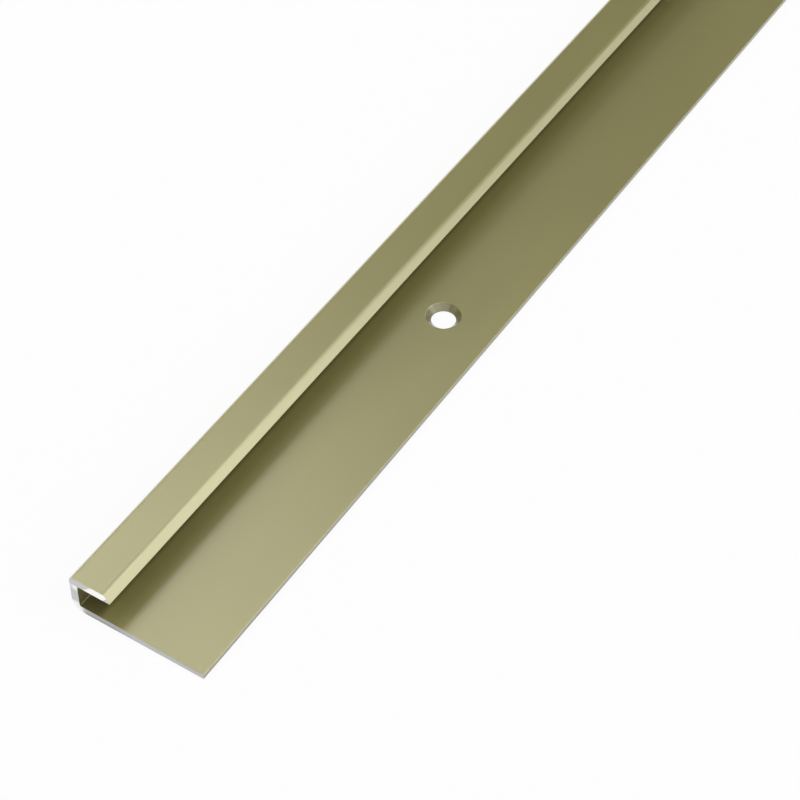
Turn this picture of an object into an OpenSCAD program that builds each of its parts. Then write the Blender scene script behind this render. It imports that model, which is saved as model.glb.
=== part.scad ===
/* [Stock] */
// Length of the stick of stock, along Y
stock_length = 900; // [300:10:3000]

/* [Section] */
// Overall width, from the back of the wall to the flange's free edge
profile_w = 26; // [22:0.5:40]
// Clear height of the channel, between the flange and the lip
channel_gap = 5; // [4.2:0.1:12]
// Clear depth of the channel, from the wall to the lip's tip
channel_depth = 6.6; // [5:0.1:10]
// Thickness of the wall
wall_t = 1.5; // [1.2:0.1:3]
// Thickness of the lip
lip_t = 1.6; // [1.4:0.1:3]
// Thickness of the flange under the lip, where its top is level
flange_t = 1.4; // [1.2:0.1:3]
// Thickness of the flange at its free edge, to which it tapers from the lip's tip
flange_edge_t = 0.9; // [0.7:0.05:1.2]
// Width of the bevel that runs down from the lip's top to its tip
bevel_w = 1.2; // [0.6:0.1:2]

/* [Rounding] */
// Radius inside the bend between the wall and the flange
bend_r = 0.1; // [0.05:0.05:1]
// Radius outside that bend, at the heel
heel_r = 2.5; // [1:0.1:3.5]
// Radius of the outer corner between the wall and the lip
back_top_r = 0.8; // [0.2:0.1:1.2]
// Radius in the corner between the wall and the lip's underside
channel_top_r = 0.3; // [0.1:0.1:1]
// Radius of the roll from the lip's top into its bevel
lip_roll_r = 1.0; // [0.2:0.1:1.4]
// Radius of the lip's tip
lip_tip_r = 0.05; // [0.03:0.01:0.25]
// Radius on the upper corner of the flange's free edge
free_edge_r = 0.15; // [0.05:0.05:0.3]
// Radius on the lower corner of that edge, at the underside
free_edge_foot_r = 0.05; // [0.03:0.01:0.25]

/* [Screw holes] */
// Number of holes along the stick
hole_count = 5; // [2:1:12]
// Diameter of the hole
hole_d = 4.5; // [4.2:0.1:5.4]
// Diameter of the countersink at the flange's top
sink_d = 6.4; // [5.6:0.1:6.8]
// Full angle of the countersink
sink_angle = 90; // [82:1:110]
// Distance of the first and last hole from the ends of the stick
hole_end = 86.5; // [20:0.5:140]
// Distance of the row of holes from the flange's free edge
hole_edge = 10.2; // [5:0.1:12]

/* [Hidden] */

// Rendering fineness of round features
$fn = 64;
// Length by which a cutter runs past the face that it cuts
overcut = 1;

// Heights above the underside, and places across the width from its middle
lip_under_z = flange_t + channel_gap;
top_z = lip_under_z + lip_t;
back_x = -profile_w / 2;
front_x = profile_w / 2;
wall_x = back_x + wall_t;
tip_x = wall_x + channel_depth;
taper_end_x = front_x - free_edge_r;
hole_x = front_x - hole_edge;

// Corners of the section, anticlockwise from the heel, each with its rounding
section_corners = [
    [[back_x, 0], heel_r],
    [[front_x, 0], free_edge_foot_r],
    [[front_x, flange_edge_t], free_edge_r],
    [[taper_end_x, flange_edge_t], 0],
    [[tip_x, flange_t], 0],
    [[wall_x, flange_t], bend_r],
    [[wall_x, lip_under_z], channel_top_r],
    [[tip_x, lip_under_z], lip_tip_r],
    [[tip_x - bevel_w, top_z], lip_roll_r],
    [[back_x, top_z], back_top_r],
];
corner_count = len(section_corners);

function corner_point(i) = section_corners[(i + corner_count) % corner_count][0];
function corner_radius(i) = section_corners[i][1];
function unit(v) = v / norm(v);

// The turn of the outline at a corner: positive where the corner stands out, negative in a hollow
function turn(i) = cross(corner_point(i) - corner_point(i - 1), corner_point(i + 1) - corner_point(i));
standing_corners = [for (i = [0 : corner_count - 1]) if (corner_radius(i) > 0 && turn(i) > 0) i];
hollow_corners = [for (i = [0 : corner_count - 1]) if (corner_radius(i) > 0 && turn(i) < 0) i];

// Height of the flange's tapered top at a place across the width
function flange_top_z(x) =
    flange_t + (flange_edge_t - flange_t) * (x - tip_x) / (taper_end_x - tip_x);

// Countersink and spacing of the screw holes
sink_depth = (sink_d - hole_d) / 2 / tan(sink_angle / 2);
sink_floor_z = flange_top_z(hole_x) - sink_depth;
hole_pitch = (stock_length - 2 * hole_end) / (hole_count - 1);

// What lies between a corner and the arc that rounds it, run on past the corner's point
module corner_sliver(i) {
    p = corner_point(i);
    r = corner_radius(i);
    before = unit(corner_point(i - 1) - p);
    after = unit(corner_point(i + 1) - p);
    half_angle = acos(before * after) / 2;
    tangent_length = r / tan(half_angle);
    centre = p + unit(before + after) * r / sin(half_angle);
    past_p = p + (p - centre) / 2;
    difference() {
        polygon([past_p, p + before * tangent_length, centre, p + after * tangent_length]);
        translate(centre) circle(r = r);
    }
}

// The section that the die gives, with every corner rounded
module section() {
    difference() {
        union() {
            polygon([for (corner = section_corners) corner[0]]);
            for (i = hollow_corners) corner_sliver(i);
        }
        for (i = standing_corners) corner_sliver(i);
    }
}

// A countersunk screw hole, as the drill leaves it, with its foot at the underside
module screw_hole_cut() {
    cone_h = sink_depth + overcut;
    cone_r = hole_d / 2 + cone_h * tan(sink_angle / 2);
    translate([0, 0, -overcut]) cylinder(h = flange_t + 2 * overcut, d = hole_d);
    translate([0, 0, sink_floor_z]) cylinder(h = cone_h, r1 = hole_d / 2, r2 = cone_r);
}

// The extruded stick, with its row of holes
module profile() {
    color([0.66, 0.64, 0.50]) difference() {
        translate([0, stock_length / 2, 0])
            rotate([90, 0, 0])
                linear_extrude(height = stock_length) section();
        for (i = [0 : hole_count - 1])
            translate([hole_x, hole_end - stock_length / 2 + i * hole_pitch, 0]) screw_hole_cut();
    }
}

profile();
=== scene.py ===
"""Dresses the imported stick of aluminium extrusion, and sets the floor, light and camera of the photograph."""

import math

import bpy
from mathutils import Matrix, Vector


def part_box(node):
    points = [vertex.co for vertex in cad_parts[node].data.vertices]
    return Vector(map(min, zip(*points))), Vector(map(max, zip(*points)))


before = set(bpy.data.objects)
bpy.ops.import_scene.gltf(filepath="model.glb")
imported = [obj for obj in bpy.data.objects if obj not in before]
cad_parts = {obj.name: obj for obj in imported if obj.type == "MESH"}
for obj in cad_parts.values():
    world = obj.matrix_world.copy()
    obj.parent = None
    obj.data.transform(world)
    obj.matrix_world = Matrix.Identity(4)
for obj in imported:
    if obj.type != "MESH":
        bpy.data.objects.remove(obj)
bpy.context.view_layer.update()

MM = 0.001

# Camera, as fitted to the photograph's straight edges and its screw hole
PHOTO_SIDE_PX = 800
FOCAL_PX = 2479.7
CAMERA_AZIMUTH = math.radians(33.056)
CAMERA_ELEVATION = math.radians(48.138)
SENSOR_MM = 36.0
CLIP_START = 0.01
CLIP_END = 100.0
# Where the flange's near bottom corner lies in the photograph, and how far it is along the view
CORNER_X_PX = 203.89
CORNER_Y_PX = 679.16
CORNER_DEPTH = 390.31 * MM

# Anodised finish: a dyed film on the metal, sealed with a clear skin
FILM_COLOUR = (0.396, 0.363, 0.134)
FILM_METALLIC = 0.40
FILM_ROUGHNESS = 0.30
FILM_ROUGHNESS_SPREAD = 0.02
FILM_IOR = 2.0
SKIN_WEIGHT = 1.0
SKIN_IOR = 1.85
SKIN_ROUGHNESS = 0.25
# Faint clouds in the dye: their size along each axis (mm), and the tones between which they change
CLOUD_GRAIN_MM = (18.0, 60.0, 18.0)
CLOUD_DETAIL = 3.0
CLOUD_RANGE = (0.3, 0.7)
CLOUD_TONES = (0.97, 1.03)
# The die's lines along the stick: the size of fine and broad ones (mm), and how deep they are
FINE_GRAIN_MM = (0.3, 250.0, 0.3)
BROAD_GRAIN_MM = (1.6, 600.0, 1.6)
LINE_RANGE = (0.25, 0.75)
LINE_DEPTH = 0.004 * MM
LINE_STRENGTH = 0.08

# Inside the channel the film is duller, and its colour darker as painted shade, from the place across where it
# is full to where it is dullest (mm)
CHANNEL_X_MM = (-6.6, -8.2)
CHANNEL_Z_MM = (1.0, 6.3)
CHANNEL_BACK_X_MM = -12.3
CHANNEL_SHADE_TONE = 0.60
CHANNEL_METALLIC = 0.80
CHANNEL_ROUGHNESS = 0.5
# The turned countersinks: the row of holes, and their duller finish, darkened with painted shade (mm)
HOLE_X_MM = 2.8
HOLE_PITCH_MM = 181.75
SINK_RADIUS_MM = 3.22
SINK_SHADE_TONE = 0.55
SINK_METALLIC = 0.95
SINK_ROUGHNESS = 0.6
TURNING_PITCH_MM = 0.18
# The face of the flange's free edge is darkened with painted shade, over this much of its rounding (mm)
FREE_EDGE_MM = (0.03, 0.005)
FREE_EDGE_SHADE_TONE = 0.3

# Sawn ends: bare metal, with painted shade in some places and a painted white highlight in others
SAWN_SKIN_MM = 0.02
SAWN_COLOUR = (0.500, 0.496, 0.490)
HIGHLIGHT_COLOUR = (0.990, 0.975, 0.940)
CUT_SHADE_COLOUR = (0.200, 0.197, 0.190)
SAWN_ROUGHNESS = 0.40
SAWN_ROUGHNESS_SPREAD = 0.08
SAW_GRAIN_MM = (0.16, 1.0, 7.0)
SAW_TURN = math.radians(35)
SAW_TONES = (0.92, 1.08)
# The painted white highlight (mm): on the lip between two slanting lines, and on the wall's top and heel
LIP_FOOT_MM = 6.3
LIP_LEFT_SLOPE = 1.06
LIP_LEFT_MM = (-17.5, -16.7)
LIP_RIGHT_SLOPE = 0.94
LIP_RIGHT_MM = (-12.25, -12.65)
WALL_END_MM = 6.4
WALL_TOP_Z_MM = (4.8, 5.8)
WALL_TOP_X_MM = (-13.4, -11.9)
HEEL_Z_MM = (2.6, 1.8)
HEEL_X_MM = (-10.6, -11.4)
WALL_HIGHLIGHT = 0.8
# The painted shade (mm): the lower half of the flange's end near the heel, and less of the rest of that end
SHADE_FROM_MM = (-11.0, -10.0)
SHADE_LOW_Z_MM = (0.75, 0.45)
SHADE_LOW_X_MM = (-1.0, -5.0)
FLANGE_TOP_MM = 1.45
SHADE_REST_X_MM = (-4.5, -0.5)
SHADE_REST = (0.68, 0.28)
# At the back corner of each end the film is filed away, this far across and along the stick (mm)
FILED_ACROSS_MM = 0.7
FILED_ALONG_MM = 1.2
FILED_RANGE = (1.2, 0.7)

FLOOR_SIDE = 12.0
BACKDROP_HEIGHT = 2.6
FLOOR_COLOUR = (0.9, 0.9, 0.9)
FLOOR_GLOW = 0.92

# Studio light: a dim room, and soft lamps with their middle, the way that each faces, its width and depth,
# and the brightness that it shows in a mirror
ROOM_LEVEL = 0.03
LAMPS = (
    ("key_lamp", (-3.8, -1.6, 4.0), (0, 0, -1), 3.6, 5.4, 2.75),
    ("fill_lamp", (-2.65, 1.725, 4.0), (0, 0, -1), 2.7, 1.15, 1.46),
    ("middle_lamp", (0.5, 1.25, 4.0), (0, 0, -1), 3.2, 2.5, 1.10),
    ("high_lamp", (3.05, 0.7, 4.0), (0, 0, -1), 1.9, 5.4, 2.40),
    ("side_lamp", (4.0, 1.5, 2.85), (-1, 0, 0), 3.0, 2.3, 1.90),
    ("low_lamp", (4.0, 1.25, 0.85), (-1, 0, 0), 2.5, 1.7, 1.00),
    ("near_lamp", (4.0, -2.0, 2.85), (-1, 0, 0), 4.0, 2.3, 0.95),
    ("left_lamp", (-4.5, 2.0, 2.5), (1, 0, 0), 7.0, 1.4, 1.00),
    ("front_lamp", (2.0, -4.1, 3.0), (-0.3, 0.8, -0.5), 6.0, 3.2, 1.30),
)


def new_material(name):
    """An empty node material, with its tree."""
    material = bpy.data.materials.new(name)
    material.use_nodes = True
    material.node_tree.nodes.clear()
    return material, material.node_tree


def node(tree, kind, **settings):
    """A shader node with its settings."""
    made = tree.nodes.new(kind)
    for name, value in settings.items():
        setattr(made, name, value)
    return made


def socket(made, name, value):
    """Sets an input of a node to a number or a colour, or links it to another node's output."""
    target = made.inputs[name]
    if isinstance(value, bpy.types.NodeSocket):
        made.id_data.links.new(value, target)
    else:
        target.default_value = value


def math_node(tree, operation, first, second=0.0):
    """The result of one sum on numbers or outputs."""
    made = node(tree, "ShaderNodeMath", operation=operation)
    socket(made, 0, first)
    socket(made, 1, second)
    return made.outputs[0]


def product(tree, *factors):
    """The product of several outputs or numbers."""
    total = factors[0]
    for factor in factors[1:]:
        total = math_node(tree, "MULTIPLY", total, factor)
    return total


def ramp(tree, value, low, high, to_low=0.0, to_high=1.0):
    """Maps a range of a value smoothly on to another range, and holds it there outside."""
    made = node(tree, "ShaderNodeMapRange", interpolation_type="SMOOTHSTEP")
    if low > high:
        low, high, to_low, to_high = high, low, to_high, to_low
    socket(made, "Value", value)
    socket(made, "From Min", low)
    socket(made, "From Max", high)
    socket(made, "To Min", to_low)
    socket(made, "To Max", to_high)
    return made.outputs["Result"]


def mix_colour(tree, factor, first, second):
    """Blends two colours."""
    made = node(tree, "ShaderNodeMix", data_type="RGBA")
    socket(made, "Factor", factor)
    for name, value in (("A", first), ("B", second)):
        target = next(s for s in made.inputs if s.name == name and s.type == "RGBA")
        if isinstance(value, bpy.types.NodeSocket):
            tree.links.new(value, target)
        else:
            target.default_value = (*value, 1.0)
    return next(s for s in made.outputs if s.type == "RGBA")


def mix_value(tree, factor, first, second):
    """Blends two numbers."""
    made = node(tree, "ShaderNodeMix", data_type="FLOAT")
    socket(made, "Factor", factor)
    socket(made, "A", first)
    socket(made, "B", second)
    return made.outputs["Result"]


def stretched_noise(tree, place, grain_mm, detail=2.0, turn=0.0):
    """Noise from 0 to 1 whose grains have these sizes along X, Y and Z."""
    mapping = node(tree, "ShaderNodeMapping", vector_type="POINT")
    socket(mapping, "Vector", place)
    socket(mapping, "Rotation", (0.0, turn, 0.0))
    socket(mapping, "Scale", tuple(1.0 / size for size in grain_mm))
    noise = node(tree, "ShaderNodeTexNoise", noise_dimensions="3D")
    socket(noise, "Vector", mapping.outputs["Vector"])
    socket(noise, "Scale", 1.0)
    socket(noise, "Detail", detail)
    return noise.outputs["Fac"]


def place_in_mm(tree):
    """The place on the part in millimetres, as a vector and as its three numbers."""
    scaled = node(tree, "ShaderNodeVectorMath", operation="SCALE")
    socket(scaled, 0, node(tree, "ShaderNodeTexCoord").outputs["Object"])
    socket(scaled, "Scale", 1.0 / MM)
    axes = node(tree, "ShaderNodeSeparateXYZ")
    socket(axes, "Vector", scaled.outputs["Vector"])
    return scaled.outputs["Vector"], axes.outputs["X"], axes.outputs["Y"], axes.outputs["Z"]


def tinted(colour, tone):
    """A colour made lighter or darker."""
    return tuple(tone * c for c in colour)


def streaked(tree, noise, middle, spread):
    """A roughness that follows lines in noise, to either side of its middle."""
    return ramp(tree, noise, *LINE_RANGE, middle - spread, middle + spread)


def channel_dull_and_shade_mask(tree, x, z):
    """1 deep inside the channel, fading to 0 at its mouth: where the film is duller and darkened with painted
    shade.
    """
    depth = ramp(tree, x, *CHANNEL_X_MM)
    above = math_node(tree, "GREATER_THAN", z, CHANNEL_Z_MM[0])
    below = math_node(tree, "LESS_THAN", z, CHANNEL_Z_MM[1])
    inside = math_node(tree, "GREATER_THAN", x, CHANNEL_BACK_X_MM)
    return product(tree, depth, above, below, inside)


def from_hole(tree, x, y):
    """Distance from the axis of the nearest screw hole."""
    wrap = node(tree, "ShaderNodeMath", operation="WRAP")
    socket(wrap, 0, y)
    socket(wrap, 1, HOLE_PITCH_MM / 2)
    socket(wrap, 2, -HOLE_PITCH_MM / 2)
    along = wrap.outputs[0]
    across = math_node(tree, "SUBTRACT", x, HOLE_X_MM)
    squares = math_node(tree, "ADD", product(tree, across, across), product(tree, along, along))
    return math_node(tree, "SQRT", squares)


def highlight_mask(tree, x, z):
    """1 where a white highlight is painted on a cut end: along the lip, and on the wall's top and heel."""
    on_lip = math_node(tree, "GREATER_THAN", z, LIP_FOOT_MM)
    lip_left = math_node(tree, "SUBTRACT", x, math_node(tree, "MULTIPLY", z, LIP_LEFT_SLOPE))
    lip_right = math_node(tree, "SUBTRACT", x, math_node(tree, "MULTIPLY", z, LIP_RIGHT_SLOPE))
    lip = product(tree, on_lip, ramp(tree, lip_left, *LIP_LEFT_MM), ramp(tree, lip_right, *LIP_RIGHT_MM))
    under_lip = math_node(tree, "LESS_THAN", z, WALL_END_MM)
    wall_top = product(tree, under_lip, ramp(tree, z, *WALL_TOP_Z_MM), ramp(tree, x, *WALL_TOP_X_MM))
    heel = product(tree, ramp(tree, z, *HEEL_Z_MM), ramp(tree, x, *HEEL_X_MM))
    wall = math_node(tree, "MAXIMUM", wall_top, heel)
    return math_node(tree, "MAXIMUM", lip, math_node(tree, "MULTIPLY", wall, WALL_HIGHLIGHT))


def end_shade_mask(tree, x, z):
    """1 where shade is painted along the lower half of the flange's cut end, near the heel, and less over the
    rest of that end.
    """
    past_heel = ramp(tree, x, *SHADE_FROM_MM)
    lower_half = product(tree, past_heel, ramp(tree, z, *SHADE_LOW_Z_MM), ramp(tree, x, *SHADE_LOW_X_MM))
    in_flange = math_node(tree, "LESS_THAN", z, FLANGE_TOP_MM)
    rest = product(tree, past_heel, in_flange, ramp(tree, x, *SHADE_REST_X_MM, *SHADE_REST))
    return math_node(tree, "MAXIMUM", lower_half, rest)


def sawn_mask(tree, x, y, back_mm, end_mm):
    """1 on the cut ends, and at their back corner, where the burr was filed off together with the film."""
    from_middle = math_node(tree, "ABSOLUTE", y)
    end_face = math_node(tree, "GREATER_THAN", from_middle, end_mm - SAWN_SKIN_MM)
    from_end = math_node(tree, "SUBTRACT", end_mm, from_middle)
    from_back = math_node(tree, "SUBTRACT", x, back_mm)
    along = math_node(tree, "DIVIDE", from_end, FILED_ALONG_MM)
    across = math_node(tree, "DIVIDE", from_back, FILED_ACROSS_MM)
    filed = ramp(tree, math_node(tree, "ADD", along, across), *FILED_RANGE)
    return math_node(tree, "MAXIMUM", end_face, filed)


def film_colour(tree, place, channel, sink, free_edge_shade):
    """The dyed film, faintly clouded, and darkened with painted shade in the channel, in the countersinks and
    on the free edge.
    """
    clouds = stretched_noise(tree, place, CLOUD_GRAIN_MM, detail=CLOUD_DETAIL)
    dark, light = (tinted(FILM_COLOUR, tone) for tone in CLOUD_TONES)
    colour = mix_colour(tree, ramp(tree, clouds, *CLOUD_RANGE), dark, light)
    for mask, tone in ((channel, CHANNEL_SHADE_TONE), (sink, SINK_SHADE_TONE), (free_edge_shade, FREE_EDGE_SHADE_TONE)):
        colour = mix_colour(tree, mask, colour, tinted(FILM_COLOUR, tone))
    return colour


def cut_colour(tree, saw_lines, x, z):
    """The bare sawn metal, streaked, with its painted white highlights and painted shade."""
    dark, light = (tinted(SAWN_COLOUR, tone) for tone in SAW_TONES)
    colour = mix_colour(tree, saw_lines, dark, light)
    colour = mix_colour(tree, highlight_mask(tree, x, z), colour, HIGHLIGHT_COLOUR)
    return mix_colour(tree, end_shade_mask(tree, x, z), colour, CUT_SHADE_COLOUR)


def make_profile_material(low, high):
    """Champagne anodising with the die's faint lines along it, and bare sawn metal on both ends."""
    material, tree = new_material("champagne_anodised_extrusion")
    place, x, y, z = place_in_mm(tree)
    front_mm = high.x / MM

    fine_lines = stretched_noise(tree, place, FINE_GRAIN_MM)
    broad_lines = stretched_noise(tree, place, BROAD_GRAIN_MM)
    saw_lines = stretched_noise(tree, place, SAW_GRAIN_MM, turn=SAW_TURN)

    sawn = sawn_mask(tree, x, y, low.x / MM, high.y / MM)
    channel = channel_dull_and_shade_mask(tree, x, z)
    radius = from_hole(tree, x, y)
    sink = math_node(tree, "LESS_THAN", radius, SINK_RADIUS_MM)
    turning = math_node(tree, "SINE", math_node(tree, "MULTIPLY", radius, 2 * math.pi / TURNING_PITCH_MM))
    free_edge_shade = ramp(tree, x, front_mm - FREE_EDGE_MM[0], front_mm - FREE_EDGE_MM[1])

    film = film_colour(tree, place, channel, sink, free_edge_shade)
    film_metallic = mix_value(tree, channel, FILM_METALLIC, CHANNEL_METALLIC)
    film_metallic = mix_value(tree, sink, film_metallic, SINK_METALLIC)
    film_rough = streaked(tree, fine_lines, FILM_ROUGHNESS, FILM_ROUGHNESS_SPREAD)
    film_rough = mix_value(tree, channel, film_rough, CHANNEL_ROUGHNESS)
    film_rough = mix_value(tree, sink, film_rough, SINK_ROUGHNESS)
    cut = cut_colour(tree, saw_lines, x, z)
    cut_rough = streaked(tree, saw_lines, SAWN_ROUGHNESS, SAWN_ROUGHNESS_SPREAD)

    height = mix_value(tree, sink, broad_lines, turning)
    bump = node(tree, "ShaderNodeBump")
    socket(bump, "Height", mix_value(tree, sawn, height, saw_lines))
    socket(bump, "Strength", LINE_STRENGTH)
    socket(bump, "Distance", LINE_DEPTH)

    shader = node(tree, "ShaderNodeBsdfPrincipled")
    socket(shader, "Base Color", mix_colour(tree, sawn, film, cut))
    socket(shader, "Metallic", mix_value(tree, sawn, film_metallic, 1.0))
    socket(shader, "Roughness", mix_value(tree, sawn, film_rough, cut_rough))
    socket(shader, "IOR", FILM_IOR)
    socket(shader, "Coat Weight", SKIN_WEIGHT)
    socket(shader, "Coat IOR", SKIN_IOR)
    socket(shader, "Coat Roughness", SKIN_ROUGHNESS)
    socket(shader, "Normal", bump.outputs["Normal"])
    output = node(tree, "ShaderNodeOutputMaterial")
    socket(output, "Surface", shader.outputs["BSDF"])
    return material


def seen_directly(tree):
    """1 where the camera sees a surface, also through a reflection, and 0 where it only lights others."""
    path = node(tree, "ShaderNodeLightPath").outputs
    seen = math_node(tree, "MAXIMUM", path["Is Camera Ray"], path["Is Glossy Ray"])
    return math_node(tree, "MAXIMUM", seen, path["Is Transmission Ray"])


def make_floor_material():
    """White that keeps a shadow, and shows as white where it is seen."""
    material, tree = new_material("floor_white")
    matt = node(tree, "ShaderNodeBsdfDiffuse")
    socket(matt, "Color", (*FLOOR_COLOUR, 1.0))
    glow = node(tree, "ShaderNodeEmission")
    blend = node(tree, "ShaderNodeMixShader")
    socket(blend, 0, math_node(tree, "MULTIPLY", seen_directly(tree), FLOOR_GLOW))
    socket(blend, 1, matt.outputs["BSDF"])
    socket(blend, 2, glow.outputs["Emission"])
    output = node(tree, "ShaderNodeOutputMaterial")
    socket(output, "Surface", blend.outputs["Shader"])
    return material


def make_floor():
    """A level white floor that keeps the part's shadow, with a low white backdrop all round it."""
    half = FLOOR_SIDE / 2
    rim = ((-half, -half), (half, -half), (half, half), (-half, half))
    corners = len(rim)
    points = [(x, y, z) for z in (0.0, BACKDROP_HEIGHT) for x, y in rim]
    sides = [(i, i + corners, (i + 1) % corners + corners, (i + 1) % corners) for i in range(corners)]
    mesh = bpy.data.meshes.new("floor")
    mesh.from_pydata(points, [], [tuple(range(corners)), *sides])
    mesh.materials.append(make_floor_material())
    floor = bpy.data.objects.new("floor", mesh)
    bpy.context.scene.collection.objects.link(floor)


def make_world():
    """A plain dim room over the backdrop."""
    world = bpy.data.worlds.new("room")
    bpy.context.scene.world = world
    world.use_nodes = True
    tree = world.node_tree
    tree.nodes.clear()
    room = node(tree, "ShaderNodeBackground")
    socket(room, "Color", (1.0, 1.0, 1.0, 1.0))
    socket(room, "Strength", ROOM_LEVEL)
    output = node(tree, "ShaderNodeOutputWorld")
    socket(output, "Surface", room.outputs["Background"])


def make_lamp(name, centre, facing, width, depth, level):
    """A soft rectangular lamp that shows this level in a mirror."""
    data = bpy.data.lights.new(name, "AREA")
    data.shape = "RECTANGLE"
    data.size = width
    data.size_y = depth
    data.energy = level * math.pi * width * depth
    lamp = bpy.data.objects.new(name, data)
    lamp.location = centre
    lamp.rotation_mode = "QUATERNION"
    lamp.rotation_quaternion = Vector(facing).to_track_quat("-Z", "Y")
    lamp.visible_camera = False
    bpy.context.scene.collection.objects.link(lamp)


def make_camera(low, high):
    """The photograph's camera, placed by the flange's near bottom corner."""
    back = Vector((
        math.sin(CAMERA_AZIMUTH) * math.cos(CAMERA_ELEVATION),
        -math.cos(CAMERA_AZIMUTH) * math.cos(CAMERA_ELEVATION),
        math.sin(CAMERA_ELEVATION),
    ))
    right = Vector((0.0, 0.0, 1.0)).cross(back).normalized()
    up = back.cross(right)
    corner = Vector((high.x, low.y, low.z))
    metres_per_px = CORNER_DEPTH / FOCAL_PX
    across = (CORNER_X_PX - PHOTO_SIDE_PX / 2) * metres_per_px
    down = (CORNER_Y_PX - PHOTO_SIDE_PX / 2) * metres_per_px
    data = bpy.data.cameras.new("camera")
    data.sensor_fit = "HORIZONTAL"
    data.sensor_width = SENSOR_MM
    data.lens = SENSOR_MM * FOCAL_PX / PHOTO_SIDE_PX
    data.clip_start = CLIP_START
    data.clip_end = CLIP_END
    camera = bpy.data.objects.new("camera", data)
    axes = Matrix((right, up, back)).transposed().to_4x4()
    place = corner + back * CORNER_DEPTH - right * across + up * down
    camera.matrix_world = Matrix.Translation(place) @ axes
    bpy.context.scene.collection.objects.link(camera)
    bpy.context.scene.camera = camera


low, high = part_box("profile")
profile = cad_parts["profile"]
profile.material_slots[0].link = "OBJECT"
profile.material_slots[0].material = make_profile_material(low, high)
make_floor()
make_world()
for lamp in LAMPS:
    make_lamp(*lamp)
make_camera(low, high)
bpy.context.scene.view_settings.view_transform = "Standard"
